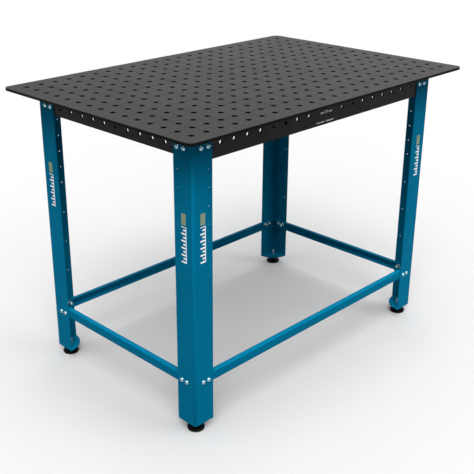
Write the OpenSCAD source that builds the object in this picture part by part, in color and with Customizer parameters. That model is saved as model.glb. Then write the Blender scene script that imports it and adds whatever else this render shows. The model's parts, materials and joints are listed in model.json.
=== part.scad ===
// Perforated welding table on four bolted angle legs with screw-down levelling feet.
// Millimetres. Origin on the floor under the centre of the worktop,
// +X to the right along the long side, +Y to the rear along the short side, +Z up.

/* [Worktop] */
// Length of the worktop plate along X
top_length = 1200; // [1200:100:1200]
// Width of the worktop plate along Y
top_width = 800; // [800:100:800]
// Thickness of the worktop plate
top_thick = 8; // [6:1:15]
// Corner radius of the worktop plate
top_corner_r = 20; // [5:1:30]
// Height of the working surface above the floor
work_height = 885; // [860:1:900]
// Diameter of the fixture holes in the plate
hole_d = 16; // [12:1:16]
// Distance between neighbouring fixture holes
hole_pitch = 50; // [50:50:50]
// Distance between the scribed grid lines
line_pitch = 100; // [100:100:200]
// Width of a scribed grid line
line_width = 1; // [0.6:0.1:1.5]
// Depth of a scribed grid line
line_depth = 0.3; // [0.2:0.1:0.6]

/* [Frame under the plate] */
// Distance from the plate's edge to the outer face of the side rails
rail_inset = 75; // [75:1:75]
// Thickness of the side rails and ribs
rail_thick = 6; // [5:1:8]
// Radius of the long side rails' upright outer corners, which sit in the bend of a leg
rail_corner_r = 4; // [4:1:5]
// Height of the long side rails
long_rail_height = 78; // [70:1:90]
// Height of the short side rails
short_rail_height = 64; // [64:1:70]
// Height of the cross ribs
rib_height = 69; // [64:1:70]
// Diameter of the holes in the side rails
side_hole_d = 11; // [10:0.5:13]
// Depth of the side hole row below the working surface
side_hole_drop = 48; // [44:1:52]
// X of the left cross rib, from the middle
left_rib_x = -170; // [-178:1:-162]
// X of the right cross rib, from the middle
right_rib_x = 170; // [162:1:178]
// Y of the lengthwise rib, from the middle
rib_y = 12; // [12:1:20]
// Slack in the crossed slots of the ribs
rib_slack = 0.5; // [0.2:0.1:1]

/* [Legs] */
// Sheet thickness of the legs
leg_thick = 3; // [3:1:3]
// Width of a leg flange
leg_width = 70; // [65:1:75]
// Length of a leg
leg_length = 850; // [850:5:850]
// Outer radius of the leg's bend
leg_bend_r = 6; // [4:1:8]
// Diameter of the small accessory holes in the legs
small_hole_d = 4; // [3:0.5:6]
// Distance from a leg's corner to its row of small holes
small_hole_off = 58; // [56:1:60]

/* [Stretchers] */
// Height of a stretcher channel
str_height = 30; // [30:1:32]
// Depth of a stretcher channel
str_depth = 15; // [14:1:16]
// Sheet thickness of a stretcher channel
str_thick = 3; // [2:0.5:3]
// Height of the stretchers' middle line above the floor
str_z = 162.5; // [150:0.5:200]
// Distance from the plate's edge to a stretcher's end
str_end = 92; // [92:1:96]

/* [Fasteners] */
// Shank diameter of the frame bolts
bolt_d = 8; // [6:1:8]
// Diameter of the frame bolts' clearance holes
bolt_hole_d = 9; // [8.5:0.5:10]
// Distance from a leg's corner to the first top bolt
top_bolt_off1 = 31; // [30:1:33]
// Distance from a leg's corner to the second top bolt
top_bolt_off2 = 56; // [55:1:59]
// Distance from a leg's corner to the first lower bolt
low_bolt_off1 = 33; // [31:1:34]
// Distance from a leg's corner to the second lower bolt
low_bolt_off2 = 53; // [52:1:56]
// Depth of the lower bolts below the stretchers' middle line
low_bolt_drop = 2; // [0:0.5:2]
// Depth of the top bolts below the working surface
top_bolt_drop = 48; // [46:1:52]
// Head diameter of the domed bolts
head_d = 14; // [13:0.5:15]
// Head height of the domed bolts
head_height = 4.4; // [4:0.2:5]
// Length of the bolts that hold the side rails
top_bolt_length = 20; // [18:1:22]
// Length of the bolts that hold the stretchers
low_bolt_length = 16; // [15:1:18]

/* [Levelling feet] */
// Distance from a leg's corner to the foot's axis
foot_off = 28; // [26:1:30]
// Radius of the quarter-round foot plate
foot_plate_r = 70; // [66:1:75]
// Thickness of the foot plate
foot_plate_thick = 5; // [4:1:6]
// Diameter of the foot's screw
stem_d = 12; // [10:0.5:12]
// Radial play of the screw in its nut and in its pad
stem_play = 0.05; // [0.03:0.01:0.09]
// Height of the screw's upper end above the floor
stem_top = 51; // [48:1:60]
// Diameter of the foot's pad
pad_d = 50; // [45:1:55]
// Height of the pad's hub above the floor
pad_top = 14; // [13:0.5:14.5]
// Thickness of the rubber sole
sole_thick = 3; // [2:0.5:3]

/* [Hidden] */
$fn = 48;
over = 1; // how far a cut runs past the face it opens

half_length = top_length / 2;
half_width = top_width / 2;
plate_z = work_height - top_thick; // underside of the plate
frame_x = half_length - rail_inset; // outer faces of the side rails
frame_y = half_width - rail_inset;
leg_x = frame_x + leg_thick; // outer corners of the legs
leg_y = frame_y + leg_thick;
leg_z = plate_z - leg_length; // lower end of the legs

top_bolt_z = work_height - top_bolt_drop;
low_bolt_z = str_z - low_bolt_drop;
top_bolt_offs = [top_bolt_off1, top_bolt_off2];
low_bolt_offs = [low_bolt_off1, low_bolt_off2];

FRONT_LEFT = [-1, -1];
FRONT_RIGHT = [1, -1];
REAR_LEFT = [-1, 1];
REAR_RIGHT = [1, 1];
CORNERS = [FRONT_LEFT, FRONT_RIGHT, REAR_LEFT, REAR_RIGHT];

PLATE_GREY = [0.27, 0.27, 0.28];
FRAME_BLACK = [0.12, 0.12, 0.125];
BLUE = [0.0, 0.40, 0.54];
FOOT_PLATE_BLUE = [0.0, 0.36, 0.49];
FOOT_NUT_BLUE = [0.0, 0.30, 0.41];
BOLT_ZINC = [0.72, 0.73, 0.74];
NUT_ZINC = [0.70, 0.71, 0.72];
PAD_BLACK = [0.05, 0.05, 0.055];
SOLE_BLACK = [0.03, 0.03, 0.03];

// ---------- shared helpers ----------

// Bores through a sheet lying between 0 and its thickness on the named axis
module bore_z(d, sheet) { translate([0, 0, -over]) cylinder(d = d, h = sheet + 2 * over); }
module bore_y(d, sheet) { rotate([-90, 0, 0]) bore_z(d, sheet); }
module bore_x(d, sheet) { rotate([0, 90, 0]) bore_z(d, sheet); }

// Hexagonal prism sized across its flats
module hex_prism(flats, h) { cylinder(d = flats / cos(30), h = h, $fn = 6); }

// Bolt places along one side whose leg corners are at -reach and +reach
function bolt_places(reach, offs) = [for (side = [-1, 1], off = offs) side * (reach - off)];

// Places a part drawn for the front left corner, with the leg's outer corner on the origin
module at_corner(corner) {
  mirror([corner[0] > 0 ? 1 : 0, 0, 0])
    mirror([0, corner[1] > 0 ? 1 : 0, 0])
      translate([-leg_x, -leg_y, 0]) children();
}

// Places a part drawn about the foot's axis
module at_foot(corner) { at_corner(corner) translate([foot_off, foot_off, 0]) children(); }

// ---------- worktop ----------

// Rectangle with rounded corners, centred
module round_rect(length, width, r) {
  square([length - 2 * r, width], center = true);
  square([length, width - 2 * r], center = true);
  for (sx = [-1, 1], sy = [-1, 1])
    translate([sx * (length / 2 - r), sy * (width / 2 - r)]) circle(r = r, $fn = 64);
}

module top_plate() {
  line_z = work_height - line_depth;
  color(PLATE_GREY)
  difference() {
    translate([0, 0, plate_z])
      linear_extrude(top_thick) round_rect(top_length, top_width, top_corner_r);
    // fixture hole grid
    for (x = [-half_length + hole_pitch : hole_pitch : half_length - hole_pitch],
         y = [-half_width + hole_pitch : hole_pitch : half_width - hole_pitch])
      translate([x, y, plate_z]) bore_z(hole_d, top_thick);
    // scribed grid lines
    for (x = [-half_length + line_pitch : line_pitch : half_length - line_pitch])
      translate([x - line_width / 2, -half_width - over, line_z])
        cube([line_width, top_width + 2 * over, line_depth + over]);
    for (y = [-half_width + line_pitch : line_pitch : half_width - line_pitch])
      translate([-half_length - over, y - line_width / 2, line_z])
        cube([top_length + 2 * over, line_width, line_depth + over]);
  }
}

// ---------- side rails and ribs ----------

side_hole_z = work_height - side_hole_drop;

// Evenly pitched places, centred on 0
function centred_row(count) = [for (i = [0 : count - 1]) (i - (count - 1) / 2) * hole_pitch];

// The long rails leave out the middle two holes
long_hole_x = [for (x = centred_row(18)) if (abs(x) > hole_pitch) x];
short_hole_y = centred_row(10);

// Section of a long rail seen from above, outer corners rounded to sit in a leg's bend
module long_rail_section() {
  corner_cut = rail_corner_r + over;
  difference() {
    translate([-frame_x, 0]) square([2 * frame_x, rail_thick]);
    for (side = [-1, 1]) translate([side * (frame_x - rail_corner_r), rail_corner_r])
      difference() {
        translate([side > 0 ? 0 : -corner_cut, -corner_cut]) square(corner_cut);
        circle(r = rail_corner_r, $fn = 48);
      }
  }
}

// Long side rail with its outer face on Y = 0 and its body towards +Y
module long_rail_body() {
  difference() {
    translate([0, 0, plate_z - long_rail_height])
      linear_extrude(long_rail_height) long_rail_section();
    for (x = long_hole_x) translate([x, 0, side_hole_z]) bore_y(side_hole_d, rail_thick);
    for (x = bolt_places(leg_x, top_bolt_offs))
      translate([x, 0, top_bolt_z]) bore_y(bolt_hole_d, rail_thick);
  }
}

// Bar along Y between the long rails, from X = 0 towards +X, hanging from the plate
module cross_bar(height) {
  half = frame_y - rail_thick;
  translate([0, -half, plate_z - height]) cube([rail_thick, 2 * half, height]);
}

// Short side rail with its outer face on X = 0 and its body towards +X
module short_rail_body() {
  difference() {
    cross_bar(short_rail_height);
    for (y = short_hole_y) translate([0, y, side_hole_z]) bore_x(side_hole_d, rail_thick);
    for (y = bolt_places(leg_y, top_bolt_offs))
      translate([0, y, top_bolt_z]) bore_x(bolt_hole_d, rail_thick);
  }
}

module rail_front() { color(FRAME_BLACK) translate([0, -frame_y, 0]) long_rail_body(); }
module rail_rear() {
  color(FRAME_BLACK) translate([0, frame_y, 0]) mirror([0, 1, 0]) long_rail_body();
}
module rail_left() { color(FRAME_BLACK) translate([-frame_x, 0, 0]) short_rail_body(); }
module rail_right() {
  color(FRAME_BLACK) translate([frame_x, 0, 0]) mirror([1, 0, 0]) short_rail_body();
}

slot_width = rail_thick + rib_slack;

// Cross rib, slotted from below where the lengthwise rib passes
module cross_rib(x) {
  color(FRAME_BLACK)
  translate([x - rail_thick / 2, 0, 0])
    difference() {
      cross_bar(rib_height);
      translate([-over, rib_y - slot_width / 2, plate_z - rib_height - over])
        cube([rail_thick + 2 * over, slot_width, rib_height / 2 + over]);
    }
}

module rib_cross_left() { cross_rib(left_rib_x); }
module rib_cross_right() { cross_rib(right_rib_x); }

// Lengthwise rib, as high as the short rails, slotted from above where the cross ribs pass
module rib_lengthwise() {
  half = frame_x - rail_thick;
  slot_z = plate_z - rib_height / 2 - rib_slack / 2;
  color(FRAME_BLACK)
  translate([0, rib_y - rail_thick / 2, 0])
    difference() {
      translate([-half, 0, plate_z - short_rail_height])
        cube([2 * half, rail_thick, short_rail_height]);
      for (x = [left_rib_x, right_rib_x])
        translate([x - slot_width / 2, -over, slot_z])
          cube([slot_width, rail_thick + 2 * over, rib_height]);
    }
}

// ---------- legs ----------

// Depths of the small holes below the plate
small_hole_drops = [100, 150, 200, 250, 300, 400, 500, 600];

leg_inner_r = leg_bend_r - leg_thick;

// Quarter disc that fills a bend, facing the origin
module bend_disc(r) {
  intersection() {
    translate([leg_bend_r, leg_bend_r]) circle(r = r, $fn = 64);
    square(leg_bend_r);
  }
}

// Angle section with its outer corner on the origin, flanges along +X and +Y
module angle_section() {
  difference() {
    union() {
      translate([leg_bend_r, 0]) square([leg_width - leg_bend_r, leg_thick]);
      translate([0, leg_bend_r]) square([leg_thick, leg_width - leg_bend_r]);
      bend_disc(leg_bend_r);
    }
    bend_disc(leg_inner_r);
  }
}

// The same bore through both flanges of a leg
module flange_bores(d, off, z) {
  translate([off, 0, z]) bore_y(d, leg_thick);
  translate([0, off, z]) bore_x(d, leg_thick);
}

module leg_body() {
  difference() {
    translate([0, 0, leg_z]) linear_extrude(leg_length) angle_section();
    for (drop = small_hole_drops)
      flange_bores(small_hole_d, small_hole_off, plate_z - drop, $fn = 32);
    for (off = top_bolt_offs) flange_bores(bolt_hole_d, off, top_bolt_z);
    for (off = low_bolt_offs) flange_bores(bolt_hole_d, off, low_bolt_z);
  }
}

module leg(corner) { color(BLUE) at_corner(corner) leg_body(); }
module leg_front_left() { leg(FRONT_LEFT); }
module leg_front_right() { leg(FRONT_RIGHT); }
module leg_rear_left() { leg(REAR_LEFT); }
module leg_rear_right() { leg(REAR_RIGHT); }

stem_hole_play = 1; // on the diameter, in the foot plate

// Quarter-round plate welded inside the lower end of a leg
module foot_plate_body() {
  difference() {
    translate([0, 0, leg_z]) linear_extrude(foot_plate_thick)
      difference() {
        intersection() {
          circle(r = foot_plate_r, $fn = 96);
          translate([leg_thick, leg_thick]) square(foot_plate_r);
        }
        // clears the inside of the bend
        translate([leg_thick, leg_thick]) square(leg_inner_r);
      }
    translate([foot_off, foot_off, leg_z]) bore_z(stem_d + stem_hole_play, foot_plate_thick);
  }
}

module foot_plate(corner) { color(FOOT_PLATE_BLUE) at_corner(corner) foot_plate_body(); }
module foot_plate_front_left() { foot_plate(FRONT_LEFT); }
module foot_plate_front_right() { foot_plate(FRONT_RIGHT); }
module foot_plate_rear_left() { foot_plate(REAR_LEFT); }
module foot_plate_rear_right() { foot_plate(REAR_RIGHT); }

// ---------- stretchers ----------

str_inner_r = 1; // inside radius of the channel's bends

// Channel section: back of the web on X = 0, flanges towards +X, centred on Y = 0
module channel_section() {
  outer_r = str_thick + str_inner_r;
  inner_height = str_height - 2 * str_thick;
  difference() {
    union() {
      translate([0, -str_height / 2 + outer_r]) square([str_depth, str_height - 2 * outer_r]);
      translate([outer_r, -str_height / 2]) square([str_depth - outer_r, str_height]);
      for (side = [-1, 1])
        translate([outer_r, side * (str_height / 2 - outer_r)]) circle(r = outer_r, $fn = 48);
    }
    translate([str_thick, -inner_height / 2 + str_inner_r])
      square([str_depth, inner_height - 2 * str_inner_r]);
    translate([outer_r, -inner_height / 2]) square([str_depth, inner_height]);
    for (side = [-1, 1])
      translate([outer_r, side * (str_height / 2 - outer_r)])
        circle(r = str_inner_r, $fn = 32);
  }
}

// Stretcher along X with its web's outer face on Y = 0, between leg corners at -reach and +reach
module stretcher_body(half, reach) {
  difference() {
    translate([-half, 0, str_z])
      rotate([90, 0, 90]) linear_extrude(2 * half) channel_section();
    for (x = bolt_places(reach, low_bolt_offs))
      translate([x, 0, low_bolt_z]) bore_y(bolt_hole_d, str_thick);
  }
}

module long_stretcher() { stretcher_body(half_length - str_end, leg_x); }
module short_stretcher() { stretcher_body(half_width - str_end, leg_y); }

module stretcher_front() { color(BLUE) translate([0, -frame_y, 0]) long_stretcher(); }
module stretcher_rear() {
  color(BLUE) translate([0, frame_y, 0]) rotate([0, 0, 180]) long_stretcher();
}
module stretcher_left() {
  color(BLUE) translate([-frame_x, 0, 0]) rotate([0, 0, -90]) short_stretcher();
}
module stretcher_right() {
  color(BLUE) translate([frame_x, 0, 0]) rotate([0, 0, 90]) short_stretcher();
}

// ---------- fasteners ----------

bolt_socket_flats = 5;
bolt_socket_depth = 2.6;
nut_flats = 13;
nut_height = 8;
nut_flange_d = 17.9;
nut_flange_thick = 2;
nut_bore_play = 0.1; // on the diameter

// Places a fastener drawn along +Z at every bolt of one level, pointing inwards,
// with its 0 at depth seat behind the leg's outer face
module at_bolts(z, offs, seat = 0) {
  for (corner = CORNERS) at_corner(corner)
    for (off = offs) {
      translate([off, seat, z]) rotate([-90, 0, 0]) children();
      translate([seat, off, z]) rotate([0, 0, -90]) rotate([-90, 0, 0]) children();
    }
}

// Domed socket-head bolt along +Z with the seat of its head at 0
module domed_bolt(length) {
  dome_r = (head_d * head_d / 4 + head_height * head_height) / (2 * head_height);
  difference() {
    union() {
      cylinder(d = bolt_d, h = length);
      rotate_extrude($fn = 64) intersection() {
        translate([0, -head_height + dome_r]) circle(r = dome_r, $fn = 128);
        translate([0, -head_height]) square([head_d / 2, head_height]);
      }
    }
    translate([0, 0, -head_height - over])
      hex_prism(bolt_socket_flats, bolt_socket_depth + over);
  }
}

// Hex nut with a round flange, flange face at 0, body towards +Z
module flange_nut() {
  difference() {
    union() {
      cylinder(d = nut_flange_d, h = nut_flange_thick);
      hex_prism(nut_flats, nut_height);
    }
    bore_z(bolt_d + nut_bore_play, nut_height);
  }
}

module top_bolts() {
  color(BOLT_ZINC) at_bolts(top_bolt_z, top_bolt_offs) domed_bolt(top_bolt_length);
}
module top_nuts() {
  color(NUT_ZINC) at_bolts(top_bolt_z, top_bolt_offs, leg_thick + rail_thick) flange_nut();
}
module lower_bolts() {
  color(BOLT_ZINC) at_bolts(low_bolt_z, low_bolt_offs) domed_bolt(low_bolt_length);
}
module lower_nuts() {
  color(NUT_ZINC) at_bolts(low_bolt_z, low_bolt_offs, leg_thick + str_thick) flange_nut();
}

// ---------- levelling feet ----------

foot_nut_flats = 19;
foot_nut_height = 10.8;
stem_bore_d = stem_d + 2 * stem_play;
stem_chamfer = 1;
stem_socket_flats = 6;
stem_socket_depth = 5;
stem_flange_d = 16;
stem_flange_thick = 3.8;
stem_flange_gap = 0.1; // above and below the flange
pad_recess_d = 17;
pad_hub_r = 11;
pad_hub_root = 5; // lower end of the hub's cylinder above the sole, sunk in the pad
sole_inset = 1; // of the sole's edge inside the pad's

// Hex nuts welded under the foot plates
module foot_nuts() {
  color(FOOT_NUT_BLUE)
  for (corner = CORNERS) at_foot(corner) translate([0, 0, leg_z - foot_nut_height])
    difference() {
      hex_prism(foot_nut_flats, foot_nut_height);
      bore_z(stem_bore_d, foot_nut_height);
    }
}

// Screw with a captive thrust flange at its lower end and a hex socket in its top
module foot_stem_body() {
  stem_z = sole_thick + stem_flange_gap;
  difference() {
    union() {
      translate([0, 0, stem_z]) cylinder(d = stem_d, h = stem_top - stem_z - stem_chamfer);
      translate([0, 0, stem_top - stem_chamfer])
        cylinder(d1 = stem_d, d2 = stem_d - 2 * stem_chamfer, h = stem_chamfer, $fn = 48);
      translate([0, 0, stem_z]) cylinder(d = stem_flange_d, h = stem_flange_thick);
    }
    translate([0, 0, stem_top - stem_socket_depth])
      hex_prism(stem_socket_flats, stem_socket_depth + over);
  }
}

// Round pad, thicker at the hub, hollow below for the screw's flange
module foot_pad_body() {
  pad_r = pad_d / 2;
  // [radius, height above the sole]
  profile = [[0, 0], [pad_r, 0], [pad_r, 3.5], [pad_r - 1.5, 5.5], [pad_hub_r, 8], [0, 8]];
  difference() {
    union() {
      translate([0, 0, sole_thick]) rotate_extrude($fn = 96) polygon(profile);
      translate([0, 0, sole_thick + pad_hub_root])
        cylinder(r = pad_hub_r, h = pad_top - sole_thick - pad_hub_root, $fn = 64);
    }
    translate([0, 0, sole_thick - over])
      cylinder(d = pad_recess_d, h = stem_flange_thick + 2 * stem_flange_gap + over);
    cylinder(d = stem_bore_d, h = pad_top + over);
  }
}

module foot_sole_body() { cylinder(r = pad_d / 2 - sole_inset, h = sole_thick, $fn = 64); }

module foot_stem(corner) { color(BOLT_ZINC) at_foot(corner) foot_stem_body(); }
module foot_stem_front_left() { foot_stem(FRONT_LEFT); }
module foot_stem_front_right() { foot_stem(FRONT_RIGHT); }
module foot_stem_rear_left() { foot_stem(REAR_LEFT); }
module foot_stem_rear_right() { foot_stem(REAR_RIGHT); }

module foot_pad(corner) { color(PAD_BLACK) at_foot(corner) foot_pad_body(); }
module foot_pad_front_left() { foot_pad(FRONT_LEFT); }
module foot_pad_front_right() { foot_pad(FRONT_RIGHT); }
module foot_pad_rear_left() { foot_pad(REAR_LEFT); }
module foot_pad_rear_right() { foot_pad(REAR_RIGHT); }

module foot_sole(corner) { color(SOLE_BLACK) at_foot(corner) foot_sole_body(); }
module foot_sole_front_left() { foot_sole(FRONT_LEFT); }
module foot_sole_front_right() { foot_sole(FRONT_RIGHT); }
module foot_sole_rear_left() { foot_sole(REAR_LEFT); }
module foot_sole_rear_right() { foot_sole(REAR_RIGHT); }

top_plate();
rail_front();
rail_rear();
rail_left();
rail_right();
rib_cross_left();
rib_cross_right();
rib_lengthwise();
leg_front_left();
leg_front_right();
leg_rear_left();
leg_rear_right();
foot_plate_front_left();
foot_plate_front_right();
foot_plate_rear_left();
foot_plate_rear_right();
stretcher_front();
stretcher_rear();
stretcher_left();
stretcher_right();
top_bolts();
top_nuts();
lower_bolts();
lower_nuts();
foot_nuts();
foot_stem_front_left();
foot_stem_front_right();
foot_stem_rear_left();
foot_stem_rear_right();
foot_pad_front_left();
foot_pad_front_right();
foot_pad_rear_left();
foot_pad_rear_right();
foot_sole_front_left();
foot_sole_front_right();
foot_sole_rear_left();
foot_sole_rear_right();
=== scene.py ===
# A steel worktable: a bored and scribed top plate on a ribbed frame, four bolted angle legs
# and four levelling feet. It is centred on the Z axis and stands on the floor at z = 0,
# with its front towards -Y and its left towards -X. Sizes of pieces are in millimetres and
# become metres in Part.add; materials, lights and camera are in metres.
import bpy, bmesh, json, math, random
from itertools import count
from mathutils import Vector, Matrix


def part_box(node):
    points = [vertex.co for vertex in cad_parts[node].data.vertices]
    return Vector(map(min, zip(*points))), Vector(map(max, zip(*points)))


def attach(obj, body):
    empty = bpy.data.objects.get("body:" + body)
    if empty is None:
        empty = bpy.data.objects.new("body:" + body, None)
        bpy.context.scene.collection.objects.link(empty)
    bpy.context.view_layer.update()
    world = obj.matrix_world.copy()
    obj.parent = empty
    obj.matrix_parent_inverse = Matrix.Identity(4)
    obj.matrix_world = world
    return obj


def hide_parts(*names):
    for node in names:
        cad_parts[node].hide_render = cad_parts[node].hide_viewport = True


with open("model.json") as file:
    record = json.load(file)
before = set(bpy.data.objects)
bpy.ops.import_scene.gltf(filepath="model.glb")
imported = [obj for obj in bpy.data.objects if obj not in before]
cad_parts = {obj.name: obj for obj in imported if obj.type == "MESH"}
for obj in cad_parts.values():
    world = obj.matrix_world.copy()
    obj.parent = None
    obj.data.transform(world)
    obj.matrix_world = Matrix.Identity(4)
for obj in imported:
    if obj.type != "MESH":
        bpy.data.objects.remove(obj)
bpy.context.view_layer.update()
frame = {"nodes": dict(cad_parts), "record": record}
CAD_NODES = frame["nodes"]
SUBPARTS = frame["record"]["subparts"]
TAU = 2 * math.pi
MM = 0.001
CORNERS = ("front_left", "front_right", "rear_left", "rear_right")
scene = bpy.context.scene


# ------------------------------------------------------------------ shader nodes
class Nodes:
    """Short ways to add nodes to a node tree. Each returns an output socket, except add."""

    def __init__(self, tree):
        self.tree = tree
        tree.nodes.clear()

    def add(self, kind):
        return self.tree.nodes.new(kind)

    def put(self, socket, value):
        """Set an input to a number or an RGB tuple, or link a socket to it."""
        if isinstance(value, (int, float)):
            socket.default_value = value
        elif isinstance(value, tuple):
            socket.default_value = (*value, 1.0)
        else:
            self.tree.links.new(value, socket)

    def object_coords(self):
        return self.add("ShaderNodeTexCoord").outputs["Object"]

    def split(self, vector):
        node = self.add("ShaderNodeSeparateXYZ")
        self.put(node.inputs[0], vector)
        return node.outputs

    def stretch(self, vector, scale):
        node = self.add("ShaderNodeMapping")
        node.inputs["Scale"].default_value = scale
        self.put(node.inputs["Vector"], vector)
        return node.outputs[0]

    def noise(self, vector, scale, detail=4.0, rough=0.55, distortion=0.0):
        node = self.add("ShaderNodeTexNoise")
        node.inputs["Scale"].default_value = scale
        node.inputs["Detail"].default_value = detail
        node.inputs["Roughness"].default_value = rough
        node.inputs["Distortion"].default_value = distortion
        self.put(node.inputs["Vector"], vector)
        return node.outputs["Fac"]

    def ramp(self, fac, stops):
        """Colour ramp; stops are (position, RGB)."""
        node = self.add("ShaderNodeValToRGB")
        elements = node.color_ramp.elements
        while len(elements) < len(stops):
            elements.new(0.5)
        for element, (position, color) in zip(elements, stops):
            element.position = position
            element.color = (*color, 1.0)
        self.put(node.inputs[0], fac)
        return node.outputs[0]

    def shades(self, fac, low, high, span=(0.3, 0.7)):
        """Ramp from one colour to another over a span of the factor."""
        return self.ramp(fac, [(span[0], low), (span[1], high)])

    def remap(self, value, to, span=(0.3, 0.7)):
        """Map the values in span to the range given by to."""
        node = self.add("ShaderNodeMapRange")
        names = ("From Min", "From Max", "To Min", "To Max")
        for name, number in zip(names, (*span, *to)):
            node.inputs[name].default_value = number
        self.put(node.inputs["Value"], value)
        return node.outputs[0]

    def math(self, operation, first, second=None):
        node = self.add("ShaderNodeMath")
        node.operation = operation
        self.put(node.inputs[0], first)
        if second is not None:
            self.put(node.inputs[1], second)
        return node.outputs[0]

    def mix(self, fac, first, second, mode="MIX"):
        node = self.add("ShaderNodeMix")
        node.data_type = "RGBA"
        node.blend_type = mode
        # sockets 6 and 7 are the colour inputs, output 2 the colour result
        for i, value in ((0, fac), (6, first), (7, second)):
            self.put(node.inputs[i], value)
        return node.outputs[2]

    def bump(self, height, strength, distance, normal=None):
        node = self.add("ShaderNodeBump")
        node.inputs["Strength"].default_value = strength
        node.inputs["Distance"].default_value = distance
        self.put(node.inputs["Height"], height)
        if normal is not None:
            self.put(node.inputs["Normal"], normal)
        return node.outputs[0]


class Surface(Nodes):
    """A new material with one Principled shader."""

    def __init__(self, name):
        self.material = bpy.data.materials.new(name)
        self.material.use_nodes = True
        super().__init__(self.material.node_tree)
        output = self.add("ShaderNodeOutputMaterial")
        self.shader = self.add("ShaderNodeBsdfPrincipled")
        self.put(output.inputs[0], self.shader.outputs[0])

    def finish(self, color, roughness, specular=None, metallic=None, normal=None):
        """Feed the shader and return the material; an input left out keeps its default."""
        inputs = {"Base Color": color, "Roughness": roughness, "Normal": normal,
                  "Specular IOR Level": specular, "Metallic": metallic}
        for name, value in inputs.items():
            if value is not None:
                self.put(self.shader.inputs[name], value)
        return self.material


def grey(level):
    return (level,) * 3


def scaled(color, factor):
    return tuple(c * factor for c in color)


# ------------------------------------------------------------------ materials
def powder_coat():
    """Blue paint with a slight orange peel."""
    s = Surface("leg_paint_powder_coat")
    coords = s.object_coords()
    broad = s.noise(coords, scale=3.0, detail=3)
    mottle = s.noise(coords, scale=60.0)
    peel = s.noise(coords, scale=420.0, detail=2, rough=0.4)
    fine = s.noise(coords, scale=1600.0, detail=2, rough=0.5)
    color = s.shades(broad, low=(0.0003, 0.140, 0.262), high=(0.0004, 0.158, 0.292))
    pale = s.remap(mottle, span=(0.35, 0.75), to=(0.0, 0.16))
    color = s.mix(pale, color, (0.0008, 0.182, 0.330))
    normal = s.bump(peel, strength=0.35, distance=0.00025)
    normal = s.bump(fine, strength=0.15, distance=0.0001, normal=normal)
    return s.finish(color, s.remap(mottle, to=(0.40, 0.52)), specular=0.010, normal=normal)


def worktop_finish(s, coords, fine, light, color, rough, specular):
    """Scratches on the plate's flat faces, dark scale on its cut edges, painted shade in its bores,
    dark scribed lines, and a painted sheen that lightens the flat faces towards +X.
    """
    # faint rolling scratches along the plate's length
    scratch = s.noise(s.stretch(coords, scale=(6.0, 900.0, 6.0)), scale=1.0, detail=6, rough=0.7)
    rough = s.math("ADD", rough, s.remap(scratch, span=(0.45, 0.7), to=(0.0, 0.07)))
    glint = s.remap(scratch, span=(0.55, 0.75), to=(0.0, 0.25))
    color = s.mix(glint, color, scaled(light, 2.0))

    # 1 on faces that lie level, 0 on the cut edges
    geometry = s.add("ShaderNodeNewGeometry")
    normal = s.split(geometry.outputs["True Normal"])
    flat = s.remap(s.math("ABSOLUTE", normal["Z"]), span=(0.25, 0.9), to=(0.0, 1.0))
    cut = s.mix(s.remap(fine, span=(0.35, 0.7), to=(0.0, 1.0)),
                (0.0030, 0.0030, 0.0032), (0.0055, 0.0054, 0.0053))

    # cut faces within this share of the half size belong to the bores, painted near black: dark
    # scale on the cut faces, darkened further by painted shade inside the holes
    bore_zone = 0.96
    low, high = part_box("top_plate")
    place = s.split(geometry.outputs["Position"])
    share_x = s.math("DIVIDE", s.math("ABSOLUTE", place["X"]), high.x)
    share_y = s.math("DIVIDE", s.math("ABSOLUTE", place["Y"]), high.y)
    inner = s.math("LESS_THAN", s.math("MAXIMUM", share_x, share_y), bore_zone)
    cut = s.mix(inner, cut, grey(0.0008))

    # the bottoms of the scribed lines lie between these depths
    line_depths = (0.15 * MM, 0.5 * MM)
    below = s.math("LESS_THAN", place["Z"], high.z - line_depths[0])
    above = s.math("GREATER_THAN", place["Z"], high.z - line_depths[1])

    # painted reflection: the flat faces are painted a little lighter towards +X, as sheen that
    # grows away from the camera
    painted_sheen_low = s.mix(1.0, color, grey(0.76), mode="MULTIPLY")
    painted_sheen_high = s.mix(1.0, color, grey(1.28), mode="MULTIPLY")
    color = s.mix(s.remap(place["X"], span=(low.x, high.x), to=(0.0, 1.0)), painted_sheen_low, painted_sheen_high)
    color = s.mix(s.math("MULTIPLY", below, above), color, grey(0.004))
    color = s.mix(flat, cut, color)
    specular = s.remap(flat, span=(0.0, 1.0), to=(0.03, specular))
    return color, rough, specular


def black_steel(name, dark, light, specular, roughness, worktop=False):
    s = Surface(name)
    coords = s.object_coords()
    broad = s.noise(coords, scale=5.0, detail=5, rough=0.6, distortion=0.4)
    mottle = s.noise(coords, scale=45.0, detail=5, rough=0.65)
    fine = s.noise(coords, scale=900.0, detail=3, rough=0.6)
    color = s.shades(broad, low=dark, high=light, span=(0.3, 0.72))
    pale = s.remap(mottle, span=(0.4, 0.8), to=(0.0, 0.35))
    color = s.mix(pale, color, scaled(light, 1.5))
    rough = s.remap(mottle, to=roughness)
    if worktop:
        color, rough, specular = worktop_finish(s, coords, fine, light, color, rough, specular)
    normal = s.bump(mottle, strength=0.12, distance=0.0003)
    normal = s.bump(fine, strength=0.25, distance=0.00006, normal=normal)
    return s.finish(color, rough, specular=specular, normal=normal)


def zinc():
    s = Surface("zinc_plate")
    coords = s.object_coords()
    mottle = s.noise(coords, scale=300.0)
    fine = s.noise(coords, scale=2500.0, detail=3)
    # grey zinc tinted cyan: the tint is a painted reflection of the blue-teal surroundings
    color = s.shades(mottle, low=(0.26, 0.42, 0.48), high=(0.38, 0.56, 0.62))
    return s.finish(color, s.remap(mottle, to=(0.10, 0.20)), metallic=1.0,
                    normal=s.bump(fine, strength=0.12, distance=0.00005))


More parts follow.
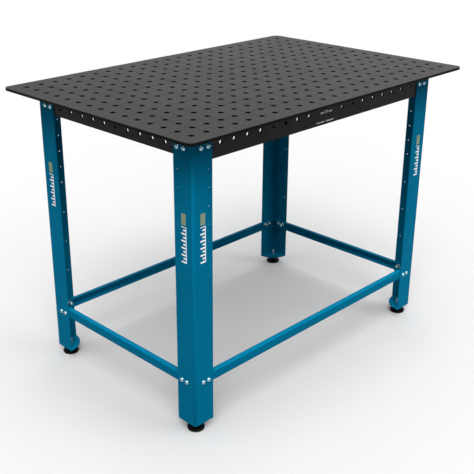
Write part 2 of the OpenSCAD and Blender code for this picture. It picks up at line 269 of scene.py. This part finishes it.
def black_plastic(name, color, roughness, specular):
    s = Surface(name)
    coords = s.object_coords()
    mottle = s.noise(coords, scale=250.0)
    fine = s.noise(coords, scale=2200.0, detail=3)
    return s.finish(s.shades(mottle, low=color, high=scaled(color, 1.6)),
                    s.remap(mottle, to=roughness), specular=specular,
                    normal=s.bump(fine, strength=0.3, distance=0.00008))


def marking_paint(name, low, high):
    """Matt print, worn in places."""
    s = Surface(name)
    coords = s.object_coords()
    grain = s.noise(coords, scale=900.0)
    wear = s.noise(coords, scale=160.0, detail=5, rough=0.7)
    color = s.shades(grain, low=low, high=high)
    worn = s.remap(wear, span=(0.62, 0.8), to=(0.0, 0.5))
    color = s.mix(worn, color, (0.40, 0.50, 0.54))
    return s.finish(color, s.remap(grain, to=(0.55, 0.7)), specular=0.2,
                    normal=s.bump(grain, strength=0.2, distance=0.00005))


MATERIALS = {
    "worktop_steel": black_steel(
        "worktop_blackened_steel", dark=grey(0.021), light=grey(0.029),
        specular=0.26, roughness=(0.38, 0.48), worktop=True),
    "frame_black": black_steel(
        "frame_black_steel", dark=(0.0052, 0.0052, 0.0054), light=(0.0082, 0.0082, 0.0084),
        specular=0.14, roughness=(0.5, 0.62)),
    "leg_paint": powder_coat(),
    "zinc_fasteners": zinc(),
    "foot_plastic": black_plastic(
        "foot_black_plastic", color=(0.0012, 0.0012, 0.0014), roughness=(0.35, 0.5), specular=0.10),
    "foot_rubber": black_plastic(
        "foot_black_rubber", color=grey(0.0010), roughness=(0.7, 0.85), specular=0.05),
    "weld_black": black_steel(
        "weld_blackened", dark=(0.016, 0.0155, 0.0155), light=(0.028, 0.027, 0.027),
        specular=0.5, roughness=(0.32, 0.45)),
    "marking": marking_paint(
        "marking_white_print", low=(0.90, 0.94, 0.95), high=(0.97, 0.98, 0.98)),
    "marking_olive": marking_paint(
        "marking_olive_print", low=(0.20, 0.27, 0.17), high=(0.27, 0.34, 0.22)),
}

for row in SUBPARTS:
    piece = CAD_NODES[row["node"]]
    piece.data.materials.clear()
    piece.data.materials.append(MATERIALS[row["material_slot"]])


# ------------------------------------------------------------------ boxes of the CAD pieces
def mm_box(node):
    low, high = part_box(node)
    return low / MM, high / MM


def face(box, axis, side):
    """Place along an axis of a box's face on its + or - side."""
    return box[1 if side > 0 else 0][axis]


def middle(box, axis):
    return (box[0][axis] + box[1][axis]) / 2


def axis_vector(axis, sign):
    vector = Vector((0, 0, 0))
    vector[axis] = sign
    return vector


def outer_corner(node, corner):
    """Outer x and y of a corner piece, and the signs that point from there into the table."""
    in_x = 1 if "left" in corner else -1
    in_y = 1 if "front" in corner else -1
    box = mm_box(node + corner)
    return face(box, 0, -in_x), face(box, 1, -in_y), in_x, in_y


def solids(node):
    """Sorted boxes of the separate solids in a CAD node."""
    bm = bmesh.new()
    bm.from_mesh(CAD_NODES[node].data)
    bmesh.ops.remove_doubles(bm, verts=bm.verts, dist=1e-6)
    seen, boxes = set(), []
    for first in bm.verts:
        if first in seen:
            continue
        stack, points = [first], []
        seen.add(first)
        while stack:
            vert = stack.pop()
            points.append(vert.co.copy())
            for edge in vert.link_edges:
                other = edge.other_vert(vert)
                if other not in seen:
                    seen.add(other)
                    stack.append(other)
        low = Vector([min(p[i] for p in points) for i in range(3)]) / MM
        high = Vector([max(p[i] for p in points) for i in range(3)]) / MM
        boxes.append((low, high))
    bm.free()
    return sorted(boxes, key=lambda box: tuple(round(x, 2) for x in box[0]))


# ------------------------------------------------------------------ mesh tools
class Part:
    """Collects meshes given in millimetres, and keeps them in metres."""

    def __init__(self):
        self.verts, self.faces = [], []

    def add(self, verts, faces, matrix=Matrix()):
        offset = len(self.verts)
        self.verts += [matrix @ (Vector(p) * MM) for p in verts]
        self.faces += [tuple(i + offset for i in f) for f in faces]
        return self


def loft(rings, loop=False):
    """Skin rings of points; with loop the last joins the first, else both ends are capped."""
    sides, rows = len(rings[0]), len(rings)
    verts = [p for points in rings for p in points]
    faces = []
    for i in range(rows if loop else rows - 1):
        a, b = i * sides, ((i + 1) % rows) * sides
        for j in range(sides):
            k = (j + 1) % sides
            faces.append((a + j, a + k, b + k, b + j))
    if not loop:
        for base, flip in ((0, True), ((rows - 1) * sides, False)):
            centre = len(verts)
            rim = verts[base:base + sides]
            verts.append(tuple(sum(p[i] for p in rim) / sides for i in range(3)))
            for j in range(sides):
                a, b = base + j, base + (j + 1) % sides
                faces.append((centre, b, a) if flip else (centre, a, b))
    return verts, faces


def turned(profile, sides=48, loop=False):
    """Turn a profile of (radius, z) about Z; a radius may be a function of the angle."""
    rings = []
    for radius, z in profile:
        points = []
        for j in range(sides):
            t = TAU * j / sides
            r = radius(t) if callable(radius) else radius
            points.append((r * math.cos(t), r * math.sin(t), z))
        rings.append(points)
    return loft(rings, loop)


def arc(centre_r, centre_z, radius, start, end, steps):
    """Profile points (radius, z) of an arc, angles in degrees."""
    angles = [math.radians(start + (end - start) * i / steps) for i in range(steps + 1)]
    return [(centre_r + radius * math.cos(a), centre_z + radius * math.sin(a)) for a in angles]


def hexagon(flat, limit=math.inf):
    """Radius of a hexagon given by its centre-to-flat distance, cut off at a limit."""
    def radius(t):
        return min(flat / math.cos(((t + math.pi / 6) % (math.pi / 3)) - math.pi / 6), limit)
    return radius


def thread(major, depth, pitch, z, fade, limit):
    """Radius of a right-hand thread at height z, cut off at a limit; fade 0 is the shank."""
    def radius(t):
        turn = (z / pitch - t / TAU) % 1.0
        from_crest = abs(2 * turn - 1)
        height = min(1.0, max(0.0, (from_crest - 0.25) / 0.6))
        return min(major - depth * fade * (1 - height), limit)
    return radius


def make(name, part, slot=None, body="root", replaced=None, material=None, sharp=35):
    """Object from a part; the material is the slot's own unless one is named."""
    mesh = bpy.data.meshes.new(name)
    mesh.from_pydata([tuple(p) for p in part.verts], [], part.faces)
    bm = bmesh.new()
    bm.from_mesh(mesh)
    bmesh.ops.recalc_face_normals(bm, faces=bm.faces)
    bm.to_mesh(mesh)
    bm.free()
    for polygon in mesh.polygons:
        polygon.use_smooth = True
    mesh.set_sharp_from_angle(angle=math.radians(sharp))
    obj = bpy.data.objects.new(name, mesh)
    scene.collection.objects.link(obj)
    mesh.materials.append(MATERIALS[material or slot])
    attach(obj, body)
    if replaced:
        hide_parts(replaced)


def upright_at(box):
    """Matrix that moves the Z axis to the middle of a box."""
    centre = (box[0] + box[1]) / 2
    return Matrix.Translation(Vector((centre.x, centre.y, 0)) * MM)


# ------------------------------------------------------------------ leg bolts and nuts
def button_bolt(length):
    """Domed socket-head M8 bolt, head seat at z = 0, head up."""
    pitch = 1.25
    tip = -length
    thread_end = tip + 9.0
    profile = []
    z = tip
    while z < thread_end:
        fade = min(1.0, max(0.0, thread_end - z))
        chamfer = min(4.0, 3.1 + (z - tip))
        profile.append((thread(3.97, 0.68, pitch, z, fade, chamfer), z))
        z += pitch / 5
    # shank and underside of the head
    profile += [(3.98, thread_end), (3.98, -0.45), (4.1, -0.1), (4.35, 0.0), (6.6, 0.0)]
    profile += arc(6.6, 0.38, 0.38, -70, 0, 3)
    # dome, between two heights on a sphere
    dome_z, dome_r = -2.459, 7.70
    rise = [math.degrees(math.asin((height - dome_z) / dome_r)) for height in (0.78, 4.22)]
    profile += arc(0.0, dome_z, dome_r, rise[0], rise[1], 9)
    # rim and hex socket
    profile += [
        (3.5, 4.36), (3.3, 4.4), (3.1, 4.4), (hexagon(2.55), 4.12), (hexagon(2.5), 3.9),
        (hexagon(2.5), 2.0), (hexagon(2.4, 2.6), 1.85), (1.3, 1.5)]
    return turned(profile)


def flange_nut():
    """M8 flange nut, seat at z = 0, hex up."""
    flat = 6.5
    across = hexagon(flat)
    profile = [(8.5, 0.0), (8.8, 0.1), (8.95, 0.4), (8.95, 0.9), (8.75, 1.2)]
    profile += [(lambda t: 0.5 * 8.2 + 0.5 * across(t), 1.75), (across, 2.2), (across, 6.8)]
    for z in (7.0, 7.25, 7.5, 7.75, 8.0):
        profile.append((hexagon(flat, 7.505 - (z - 6.8) * 1.05), z))
    profile += [(4.6, 8.0), (4.05, 7.45), (4.05, 0.55), (4.6, 0.0)]
    return turned(profile, loop=True)


def facing(box):
    """Axis and side of the leg face a fastener sits on, and the fastener's centre."""
    size = box[1] - box[0]
    centre = (box[0] + box[1]) / 2
    # a fastener is as wide as it is high, and longer or shorter along its own axis
    axis = 0 if abs(size.y - size.z) < abs(size.x - size.z) else 1
    return axis, (1 if centre[axis] > 0 else -1), centre


spins = random.Random(7)


def pointing(origin, direction):
    """Matrix with +Z along a direction and a random spin about it."""
    turn = direction.to_track_quat("Z", "Y").to_matrix().to_4x4()
    spin = Matrix.Rotation(spins.uniform(0, TAU), 4, "Z")
    return Matrix.Translation(origin * MM) @ turn @ spin


leg_face = mm_box("leg_rear_right")[1]
for level in ("top", "lower"):
    bolts, nuts = Part(), Part()
    for box in solids(level + "_bolts"):
        axis, side, seat = facing(box)
        seat[axis] = side * leg_face[axis]
        length = side * (seat[axis] - face(box, axis, -side))
        bolts.add(*button_bolt(length), pointing(seat, axis_vector(axis, side)))
    for box in solids(level + "_nuts"):
        axis, side, seat = facing(box)
        seat[axis] = face(box, axis, side)
        nuts.add(*flange_nut(), pointing(seat, axis_vector(axis, -side)))
    for kind, part in (("_bolts", bolts), ("_nuts", nuts)):
        make(level + kind + "_detailed", part, "zinc_fasteners", replaced=level + kind)

# ------------------------------------------------------------------ levelling feet
NUT_FLAT = 9.5  # centre to flat of the nut welded under each foot plate


def weld_nut(bottom, top, bore=6.05):
    """Hex nut chamfered at both ends."""
    full = NUT_FLAT / math.cos(math.pi / 6)
    low_r = NUT_FLAT - 0.6
    profile = [(low_r, bottom)]
    for d in (0.12, 0.35, 0.65, 1.0, 1.35):
        profile.append((hexagon(NUT_FLAT, low_r + d * 1.6), bottom + d))
    profile += [(hexagon(NUT_FLAT), bottom + 1.6), (hexagon(NUT_FLAT), top - 1.0)]
    for d in (0.75, 0.45, 0.2, 0.0):
        profile.append((hexagon(NUT_FLAT, full - (1.0 - d) * 1.1), top - d))
    profile += [(bore + 0.9, top), (bore, top - 0.9), (bore, bottom + 0.9), (bore + 0.9, bottom)]
    return turned(profile, loop=True)


def foot_stem(bottom, top):
    """Threaded M12 stem with a flange at its foot and a hex socket in its top."""
    pitch, major = 1.75, 5.95
    flange = bottom + 3.8
    profile = [
        (7.4, bottom), (7.85, bottom + 0.25), (8.0, bottom + 0.6), (8.0, flange - 0.5),
        (7.8, flange - 0.15), (7.4, flange), (6.3, flange), (major, flange + 0.3)]
    start = z = flange + 1.2
    chamfer_z = top - 1.0
    while z < top - 0.01:
        fade = min(1.0, (z - start) / 1.5)
        limit = major if z < chamfer_z else major - (z - chamfer_z) * 1.05
        profile.append((thread(major, 1.02, pitch, z, fade, limit), z))
        z += pitch / 7
    profile += [
        (4.75, top), (3.75, top), (hexagon(3.05), top - 0.4), (hexagon(3.0), top - 4.7),
        (hexagon(2.9, 3.1), top - 4.85), (1.5, top - 5.4)]
    return turned(profile)


def foot_pad(bottom, top):
    """Round pad with a sloping top, a raised collar and a hollow middle."""
    profile = [(24.6, bottom), (24.9, bottom + 0.12), (25.0, bottom + 0.45), (25.0, bottom + 3.0)]
    profile += arc(23.2, bottom + 3.3, 1.8, 0, 78, 5)[1:]
    profile += [(12.6, bottom + 7.55), (11.7, bottom + 7.85), (11.15, bottom + 8.35),
                (11.0, bottom + 9.1), (11.0, top - 0.7)]
    profile += arc(10.3, top - 0.7, 0.7, 0, 90, 4)[1:]
    profile += [(6.9, top), (6.35, top - 0.15), (6.1, top - 0.6), (6.1, bottom + 4.0),
                (8.5, bottom + 4.0), (8.5, bottom)]
    return turned(profile, sides=96, loop=True)


def foot_sole(bottom, top):
    """Disc with four ring grooves underneath."""
    profile = [(23.9, top), (24.0, top - 0.15), (24.0, bottom + 0.5), (23.85, bottom + 0.15),
               (23.5, bottom)]
    for groove in (20.5, 16.5, 12.5, 8.5):
        profile += [(groove + 0.9, bottom), (groove + 0.6, bottom + 0.6),
                    (groove - 0.6, bottom + 0.6), (groove - 0.9, bottom)]
    return turned(profile, sides=96)


weld_nuts = Part()
for box in solids("foot_nuts"):
    weld_nuts.add(*weld_nut(box[0].z, box[1].z), upright_at(box))
make("foot_nuts_detailed", weld_nuts, "leg_paint", replaced="foot_nuts")

# piece, its mesh, its slot, the body it rides on
FOOT_PIECES = (
    ("stem", foot_stem, "zinc_fasteners", "stem_"),
    ("pad", foot_pad, "foot_plastic", "pad_"),
    ("sole", foot_sole, "foot_rubber", "pad_"),
)
for corner in CORNERS:
    foot_place = upright_at(mm_box("foot_stem_" + corner))
    for kind, shape, slot, body in FOOT_PIECES:
        node = f"foot_{kind}_{corner}"
        low, high = mm_box(node)
        make(f"foot_{kind}_detailed_{corner}", Part().add(*shape(low.z, high.z), foot_place),
             slot, body + corner, replaced=node)

# ------------------------------------------------------------------ weld beads
RIPPLE = 2.6        # length of one ripple
RIPPLE_STEPS = 4    # rings per ripple
SINK = 0.25         # how far a bead reaches into the steel
DOWN, UP = (0, 0, -1), (0, 0, 1)
bead_seeds = count(1)


def bead(part, start, end, run_a, run_b, leg):
    """Fillet weld from start to end, in the corner of surfaces running off along a and b."""
    jitter = random.Random(next(bead_seeds))
    start, end, run_a, run_b = (Vector(v) for v in (start, end, run_a, run_b))
    direction = end - start
    length = direction.length
    direction.normalize()
    steps = max(6, int(length / RIPPLE) * RIPPLE_STEPS)
    rings = []
    for i in range(steps + 1):
        along = length * i / steps
        swell = math.sin(math.pi * ((along / RIPPLE) % 1.0))
        taper = min(1.0, 0.35 + min(along, length - along) / (1.1 * leg))
        size = leg * taper * (0.90 + 0.10 * swell + jitter.uniform(-0.012, 0.012))
        outline = [(-SINK, -SINK), (size, -SINK), (size, 0.04)]
        for t in (0.2, 0.4, 0.6, 0.8):
            bulge = 0.16 * size * math.sin(math.pi * t) * (0.8 + 0.5 * swell)
            outline.append((size * (1 - t) + bulge, size * t + bulge))
        outline += [(0.04, size), (-SINK, size)]
        # each ripple leans forward in its middle, like frozen puddle rims
        points = []
        for j, (a, b) in enumerate(outline):
            lean = 0.0
            if 0 < i < steps:
                lean = 0.9 * math.sin(math.pi * min(1.0, max(0.0, (j - 2) / 5)))
            reach = min(length, max(0.0, along + lean))
            points.append(tuple(start + direction * reach + run_a * a + run_b * b))
        rings.append(points)
    part.add(*loft(rings))


def stitches(start, end, number, length):
    """Short runs of one length spread evenly between start and end."""
    gap = (end - start - number * length) / number
    starts = [start + gap / 2 + i * (length + gap) for i in range(number)]
    return [(a, a + length) for a in starts]


top_plate = mm_box("top_plate")
UNDERSIDE = top_plate[0].z
BEAD_TOP = UNDERSIDE - 6    # upright beads run from BEAD_RISE above a piece's foot to here
BEAD_RISE = 3
CLEARANCE = 9               # kept between a bead and a crossing rib or a side hole
HOLE_Z = top_plate[1].z - 48.0
HOLE_PITCH = 50             # side holes stand half a pitch off the middle, then every pitch
CROSS_RIBS = ("rib_cross_left", "rib_cross_right")
LENGTHWISE_RIB = "rib_lengthwise"
frame_welds = Part()


def plate_bead(box, axis, side, start, end, leg):
    """Bead under the plate, along the face of a rail or rib."""
    a = Vector((0, 0, UNDERSIDE))
    a[axis] = face(box, axis, side)
    b = a.copy()
    a[1 - axis], b[1 - axis] = start, end
    bead(frame_welds, a, b, axis_vector(axis, side), DOWN, leg)


def upright_bead(x, y, side_x, side_y, bottom, leg, top=BEAD_TOP):
    bead(frame_welds, (x, y, bottom), (x, y, top),
         axis_vector(0, side_x), axis_vector(1, side_y), leg)


# side rails to the plate, from inside: rail, axis across it, stitches, ribs that meet it
RAILS = (
    ("rail_front", 1, 7, CROSS_RIBS),
    ("rail_rear", 1, 7, CROSS_RIBS),
    ("rail_left", 0, 4, (LENGTHWISE_RIB,)),
    ("rail_right", 0, 4, (LENGTHWISE_RIB,)),
)
RAIL_STITCH = 38
for node, axis, number, ribs in RAILS:
    box = mm_box(node)
    along = 1 - axis
    side = -1 if middle(box, axis) > 0 else 1
    for start, end in stitches(box[0][along] + 40, box[1][along] - 40, number, RAIL_STITCH):
        for rib in ribs:
            rib_at = middle(mm_box(rib), along)
            # a stitch that would meet a rib moves past it
            if start - CLEARANCE < rib_at < end + CLEARANCE:
                start, end = rib_at + 12, rib_at + 12 + RAIL_STITCH
        plate_bead(box, axis, side, start, end, 4.2)

# ribs to the plate, both sides: rib, axis across it, stitches, ribs that cross it
RIBS = (
    ("rib_cross_left", 0, 5, (LENGTHWISE_RIB,)),
    ("rib_cross_right", 0, 5, (LENGTHWISE_RIB,)),
    (LENGTHWISE_RIB, 1, 7, CROSS_RIBS),
)
for node, axis, number, crossing in RIBS:
    box = mm_box(node)
    along = 1 - axis
    crossings = [middle(mm_box(rib), along) for rib in crossing]
    for side in (-1, 1):
        for start, end in stitches(box[0][along] + 25, box[1][along] - 25, number, 34):
            if not any(start - CLEARANCE < c < end + CLEARANCE for c in crossings):
                plate_bead(box, axis, side, start, end, 3.8)

# inner faces of the rails, each with the sign that points into the table
rail_left = mm_box("rail_left")
INNER_X = ((rail_left[1].x, 1), (mm_box("rail_right")[0].x, -1))
INNER_Y = ((mm_box("rail_front")[1].y, 1), (mm_box("rail_rear")[0].y, -1))

# upright corners between the rails
for x, side_x in INNER_X:
    for y, side_y in INNER_Y:
        upright_bead(x, y, side_x, side_y, rail_left[0].z + BEAD_RISE, 4.0)

# ends of the cross ribs on the front and rear rails
for node in CROSS_RIBS:
    box = mm_box(node)
    bottom = box[0].z + BEAD_RISE
    for side in (-1, 1):
        x = face(box, 0, side)
        # the bead breaks off around a side hole that the rib's end stands beside
        holes = [HOLE_PITCH * (k + 0.5) for k in range(-9, 9)]
        runs = ((bottom, BEAD_TOP),)
        if min(abs(x + side * 2 - hole) for hole in holes) < CLEARANCE:
            runs = ((bottom, HOLE_Z - CLEARANCE), (HOLE_Z + CLEARANCE, BEAD_TOP))
        for y, side_y in INNER_Y:
            for run_bottom, run_top in runs:
                upright_bead(x, y, side, side_y, run_bottom, 3.6, top=run_top)

# the lengthwise rib on the left and right rails, then on the cross ribs
box = mm_box(LENGTHWISE_RIB)
for side in (-1, 1):
    y = face(box, 1, side)
    bottom = box[0].z + BEAD_RISE
    for x, side_x in INNER_X:
        upright_bead(x, y, side_x, side, bottom, 3.8)
    for node in CROSS_RIBS:
        for side_x in (1, -1):
            upright_bead(face(mm_box(node), 0, side_x), y, side_x, side, bottom, 3.6)
make("frame_weld_beads", frame_welds, "frame_black", material="weld_black", sharp=60)


def nut_ring_weld(x, y, plate_bottom):
    """Rippled weld around the nut, under its foot plate."""
    overlap = 0.2  # into the nut and the plate
    # section of the bead: share of its size outwards, and downwards
    section = ((0, 0), (0, 1), (0.35, 0.8), (0.65, 0.55), (0.88, 0.28), (1, 0))
    rings = []
    for i in range(72):
        t = TAU * i / 72
        inner = hexagon(NUT_FLAT)(t) - overlap
        size = 2.6 * (0.88 + 0.12 * math.sin(TAU * i / 3.0 + 0.4)) + overlap
        points = []
        for out, down in section:
            r = inner + out * size
            z = plate_bottom + overlap - down * size
            points.append((x + r * math.cos(t), y + r * math.sin(t), z))
        rings.append(points)
    return loft(rings, loop=True)


NUT_INSET = 25  # rough distance of a foot nut from its plate's outer edges
foot_welds = Part()
for corner in CORNERS:
    low, high = mm_box("foot_plate_" + corner)
    x, y, in_x, in_y = outer_corner("foot_plate_", corner)
    z = high.z
    # plate to each leg flange, on top of the plate
    bead(foot_welds, (x + in_x * 8, y, z), (x + in_x * 60, y, z), axis_vector(1, in_y), UP, 3.2)
    bead(foot_welds, (x, y + in_y * 8, z), (x, y + in_y * 60, z), axis_vector(0, in_x), UP, 3.2)
    centres = [(middle(nut, 0), middle(nut, 1)) for nut in solids("foot_nuts")]
    nut_x, nut_y = next(
        c for c in centres
        if abs(c[0] - (x + in_x * NUT_INSET)) < 8 and abs(c[1] - (y + in_y * NUT_INSET)) < 8)
    foot_welds.add(*nut_ring_weld(nut_x, nut_y, low.z))
make("foot_weld_beads", foot_welds, "leg_paint", sharp=60)

# ------------------------------------------------------------------ printed scales
PRINT_HEIGHT = 0.15   # off the face
PRINT_SINK = 0.05     # into the face
SCALE_HEIGHT, SCALE_WIDTH = 142.0, 20.0
SCALE_Z = 595.0       # middle of a leg scale
SCALE_INSET = 35.0    # from the leg's outer corner
BAR_PITCH = 10


def prism(part, matrix, points):
    """Thin plate with its outline in a face's own X, Y plane; +Z is off the face."""
    n = len(points)
    verts = [(x, y, z) for z in (-PRINT_SINK, PRINT_HEIGHT) for x, y in points]
    faces = [tuple(reversed(range(n))), tuple(range(n, 2 * n))]
    faces += [(i, (i + 1) % n, n + (i + 1) % n, n + i) for i in range(n)]
    part.add(verts, faces, matrix)


def slab(part, matrix, x0, y0, x1, y1):
    prism(part, matrix, [(x0, y0), (x1, y0), (x1, y1), (x0, y1)])


def face_frame(origin, normal):
    """Local X horizontal, local Y up, +Z along the face's outward normal."""
    up = Vector(UP)
    turn = Matrix((up.cross(normal), up, normal)).transposed().to_4x4()
    return Matrix.Translation(Vector(origin) * MM) @ turn


def leg_scale(bars, chip, matrix):
    """Plain ruler: a spine with bars to one side, and a coloured chip above."""
    bottom, right = -SCALE_HEIGHT / 2, SCALE_WIDTH / 2
    top = SCALE_HEIGHT / 2 - 40
    slab(bars, matrix, right - 2.6, bottom, right, top)
    for i in range(int((top - bottom) / BAR_PITCH) + 1):
        y = bottom + BAR_PITCH * i
        length = SCALE_WIDTH - 1 if i % 2 == 0 else SCALE_WIDTH * 0.6
        slab(bars, matrix, right - length, y, right - 2.7, min(y + 4.6, top))
    chip_x = SCALE_WIDTH * 0.42
    slab(chip, matrix, -chip_x, SCALE_HEIGHT / 2 - 35, chip_x, SCALE_HEIGHT / 2 - 3)


scales, chips = Part(), Part()
for corner in CORNERS:
    x, y, in_x, in_y = outer_corner("leg_", corner)
    if "left" in corner:
        origin = (x, y + in_y * SCALE_INSET, SCALE_Z)
        leg_scale(scales, chips, face_frame(origin, axis_vector(0, -in_x)))
    if "front" in corner:
        origin = (x + in_x * SCALE_INSET, y, SCALE_Z)
        leg_scale(scales, chips, face_frame(origin, axis_vector(1, -in_y)))
make("leg_scales", scales, material="marking", sharp=20)
make("leg_scale_chips", chips, material="marking_olive", sharp=20)

# mark in the middle of the front rail: a triangle between two bars, over two short rulers
centre_mark = Part()
box = mm_box("rail_front")
matrix = face_frame((0, box[0].y, middle(box, 2) - 12), axis_vector(1, -1))
prism(centre_mark, matrix, [(-7, 13.5), (7, 13.5), (0, 4.0)])
for x0, x1 in ((-26, -10), (10, 26)):
    slab(centre_mark, matrix, x0, 6.4, x1, 10.8)
for x0, x1 in ((-42, -8), (0, 34)):
    slab(centre_mark, matrix, x0, -19.5, x1, -16.6)
    for i in range(5):
        x = x0 + 0.4 + i * (x1 - x0 - 1.6) / 4
        slab(centre_mark, matrix, x, -16.5, x + 0.8, -14.0 if i % 4 == 0 else -15.2)
make("rail_centre_scale", centre_mark, material="marking", sharp=20)


# ------------------------------------------------------------------ soft edges on the CAD pieces
def soften(node, width, segments=2):
    obj = CAD_NODES[node]
    weld = obj.modifiers.new("weld", "WELD")
    weld.merge_threshold = 1e-6
    bevel = obj.modifiers.new("edge", "BEVEL")
    bevel.width = width * MM
    bevel.segments = segments
    bevel.limit_method = "ANGLE"
    bevel.angle_limit = math.radians(35)
    bevel.harden_normals = True
    bevel.use_clamp_overlap = False
    bevel.miter_outer = "MITER_ARC"


for row in SUBPARTS:
    node = row["node"]
    if node.startswith(("rail_", "rib_")):
        soften(node, width=0.28)
    elif node.startswith(("leg_", "stretcher_", "foot_plate_")):
        soften(node, width=0.35)
soften("top_plate", width=0.12, segments=1)

# ------------------------------------------------------------------ studio
FLOOR_SIZE = 60
FLOOR_TONE = 0.95
BOUNCE = 0.29  # share of its tone that the floor throws back as light

# softboxes: elevation, azimuth from +X, width (all in degrees), share of the light
FLOOR_LIGHTS = [
    (25, -60, 40, 0.194), (25, 150, 40, 0.050), (35, -135, 50, 0.377), (50, 180, 50, 0.097),
    (50, 45, 50, 0.105), (60, -135, 30, 0.148), (60, -60, 80, 0.101), (60, 150, 80, 0.054),
    (70, -45, 40, 0.106), (70, 135, 40, 0.039), (70, 45, 40, 0.050), (90, 0, 25, 0.139),
]
TABLE_LIGHTS = [
    (35, 180, 50, 0.058), (50, -135, 50, 0.267), (50, -90, 50, 0.534), (50, 180, 50, 0.220),
    (60, -135, 30, 0.717), (40, 45, 50, 0.40),
]
FACING_CAMERA = 45  # azimuth of the softboxes across the table, which show in no reflection


def build_floor():
    bpy.ops.mesh.primitive_plane_add(size=1, location=(0, 0, 0))
    floor = bpy.context.object
    floor.name = "studio_floor"
    floor.scale = (FLOOR_SIZE, FLOOR_SIZE, 1)
    s = Surface("studio_floor")
    # it throws back less light than it shows, as a floor in a large dark studio would
    path = s.add("ShaderNodeLightPath").outputs
    seen = s.math("MAXIMUM", path["Is Camera Ray"], path["Is Glossy Ray"])
    tone = s.remap(seen, span=(0, 1), to=(FLOOR_TONE * BOUNCE, FLOOR_TONE))
    floor.data.materials.append(s.finish(tone, roughness=1.0, specular=0.0))
    return floor


def softbox(elevation, azimuth, width, share, receivers):
    """Large distant light that reaches only the receivers."""
    light = bpy.data.lights.new("softbox", "SUN")
    light.energy = math.pi * share
    light.angle = math.radians(width)
    obj = bpy.data.objects.new("softbox", light)
    scene.collection.objects.link(obj)
    e, a = math.radians(elevation), math.radians(azimuth)
    towards = Vector((math.cos(a) * math.cos(e), math.sin(a) * math.cos(e), math.sin(e)))
    obj.rotation_mode = "QUATERNION"
    obj.rotation_quaternion = towards.to_track_quat("Z", "Y")
    obj.light_linking.receiver_collection = receivers
    obj.visible_glossy = azimuth != FACING_CAMERA


def build_world():
    """White to the camera; shiny pieces see a dim wall with a bright panel overhead."""
    world = bpy.data.worlds.new("studio")
    scene.world = world
    world.use_nodes = True
    world.cycles_visibility.diffuse = False
    n = Nodes(world.node_tree)
    output = n.add("ShaderNodeOutputWorld")
    background = n.add("ShaderNodeBackground")
    n.put(output.inputs[0], background.outputs[0])
    path = n.add("ShaderNodeLightPath").outputs
    direction = n.split(n.add("ShaderNodeTexCoord").outputs["Generated"])
    # position from just below the horizon to straight up, and brightness
    levels = [(0.0, 0.30), (0.17, 0.20), (0.36, 0.50), (0.52, 0.50), (0.70, 0.75), (1.0, 1.1)]
    height = n.remap(direction["Z"], span=(-0.2, 1.0), to=(0.0, 1.0))
    reflected = n.ramp(height, [(position, grey(level)) for position, level in levels])
    n.put(background.inputs["Color"], n.mix(path["Is Camera Ray"], reflected, grey(0.98)))
    n.put(background.inputs["Strength"], 1.0)


def build_camera():
    """Looks from the front left, down on the table."""
    camera = bpy.data.cameras.new("camera")
    obj = bpy.data.objects.new("camera", camera)
    scene.collection.objects.link(obj)
    camera.sensor_width = 36.0
    camera.lens = 65.56253165
    # shifts in sensor widths
    camera.shift_x = 0.03483122363
    camera.shift_y = -0.02421940928
    camera.clip_start, camera.clip_end = 0.05, 200
    obj.location = (-1.9054, -1.8041, 1.4758)
    view = Vector((0.6533, 0.6533, -0.3827))
    obj.rotation_mode = "QUATERNION"
    obj.rotation_quaternion = view.to_track_quat("-Z", "Y")
    scene.camera = obj


floor = build_floor()
only_floor = bpy.data.collections.new("lit_floor")
only_floor.objects.link(floor)
not_floor = bpy.data.collections.new("lit_table")
not_floor.objects.link(floor)
not_floor.collection_objects[0].light_linking.link_state = "EXCLUDE"
for lights, receivers in ((FLOOR_LIGHTS, only_floor), (TABLE_LIGHTS, not_floor)):
    for row in lights:
        softbox(*row, receivers)
build_world()
build_camera()
scene.view_settings.view_transform = "Standard"
scene.view_settings.look = "None"
